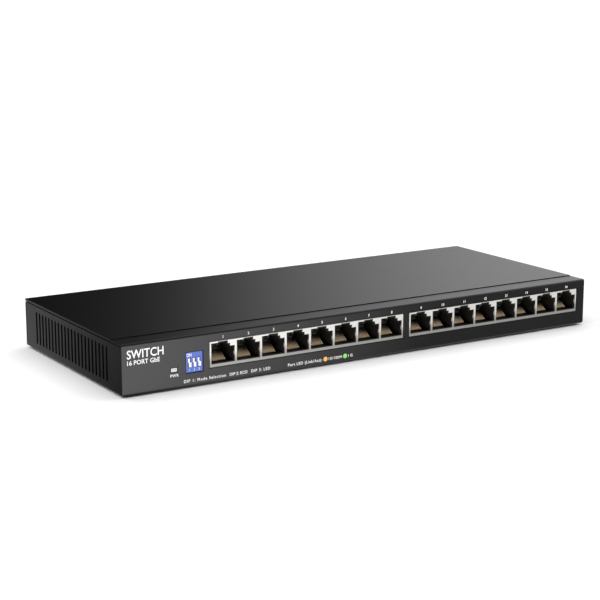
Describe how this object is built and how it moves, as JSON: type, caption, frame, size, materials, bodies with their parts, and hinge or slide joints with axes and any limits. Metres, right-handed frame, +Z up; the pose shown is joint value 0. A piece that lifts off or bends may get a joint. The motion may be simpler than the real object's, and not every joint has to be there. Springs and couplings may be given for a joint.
{
  "type": "desktop network switch",
  "caption": "Low, flat steel-cased desktop network switch with two rows of modular jacks side by side on its front, a small DIP switch, side vents and a rear DC inlet.",
  "frame": {"origin": "on the surface the switch stands on, under the middle of the case, so at the underside of the rubber feet", "axes": "+X along the port rows, to the right seen from the front; -Y out of the front panel with the ports; +Z up"},
  "size_m": [0.28, 0.1155, 0.026],
  "materials": {
    "painted_steel": "fine-textured black powder coat",
    "nickel_shield": "bright nickel-plated spring steel",
    "black_plastic": "moulded black glass-filled plastic",
    "gold_contact": "gold-plated spring wire",
    "clear_plastic": "clear light-pipe plastic, unlit",
    "blue_plastic": "blue switch-housing plastic",
    "white_plastic": "white nylon",
    "circuit_board": "green solder mask on glass epoxy",
    "chip_epoxy": "black moulding epoxy",
    "bare_aluminium": "bare extruded aluminium",
    "capacitor_sleeve": "shrunk plastic sleeve over an aluminium can",
    "rubber": "soft black stick-on feet",
    "screw_steel": "black zinc-plated steel",
    "printed_ink": "screen-printed ink, white but for the two coloured dots of the lamp legend"
  },
  "bodies": {
    "switch_case": {"base_chassis": "painted_steel", "board_screw_1": "screw_steel", "board_screw_2": "screw_steel", "board_screw_3": "screw_steel", "board_screw_4": "screw_steel", "capacitor_1": "capacitor_sleeve", "capacitor_2": "capacitor_sleeve", "cover_screw_1": "screw_steel", "cover_screw_2": "screw_steel", "cover_screw_3": "screw_steel", "crystal": "nickel_shield", "dc_inlet_contact_leaf": "nickel_shield", "dc_inlet_housing": "black_plastic", "dc_inlet_pin": "nickel_shield", "dip_switch_body": "blue_plastic", "foot_front_left": "rubber", "foot_front_right": "rubber", "foot_rear_left": "rubber", "foot_rear_right": "rubber", "jack_housing_left": "black_plastic", "jack_housing_right": "black_plastic", "jack_shield_left": "nickel_shield", "jack_shield_right": "nickel_shield", "main_board": "circuit_board", "phy_chip": "chip_epoxy", "phy_heatsink": "bare_aluminium", "port_contacts_01": "gold_contact", "port_contacts_02": "gold_contact", "port_contacts_03": "gold_contact", "port_contacts_04": "gold_contact", "port_contacts_05": "gold_contact", "port_contacts_06": "gold_contact", "port_contacts_07": "gold_contact", "port_contacts_08": "gold_contact", "port_contacts_09": "gold_contact", "port_contacts_10": "gold_contact", "port_contacts_11": "gold_contact", "port_contacts_12": "gold_contact", "port_contacts_13": "gold_contact", "port_contacts_14": "gold_contact", "port_contacts_15": "gold_contact", "port_contacts_16": "gold_contact", "port_light_pipe_left": "clear_plastic", "port_light_pipe_right": "clear_plastic", "port_transformer_1": "chip_epoxy", "port_transformer_2": "chip_epoxy", "port_transformer_3": "chip_epoxy", "port_transformer_4": "chip_epoxy", "power_inductor": "chip_epoxy", "power_led": "clear_plastic", "power_light_pipe": "clear_plastic", "switch_chip": "chip_epoxy", "switch_heatsink": "bare_aluminium", "top_cover": "painted_steel"},
    "slider_1": {"dip_slider_1": "white_plastic"},
    "slider_2": {"dip_slider_2": "white_plastic"},
    "slider_3": {"dip_slider_3": "white_plastic"}
  },
  "joints": [
    {"name": "dip_1_slide", "type": "slide", "parent": "switch_case", "child": "slider_1", "axis": [0, 0, 1], "range_m": [0, 0.002]},
    {"name": "dip_2_slide", "type": "slide", "parent": "switch_case", "child": "slider_2", "axis": [0, 0, 1], "range_m": [0, 0.002]},
    {"name": "dip_3_slide", "type": "slide", "parent": "switch_case", "child": "slider_3", "axis": [0, 0, 1], "range_m": [0, 0.002]}
  ]
}
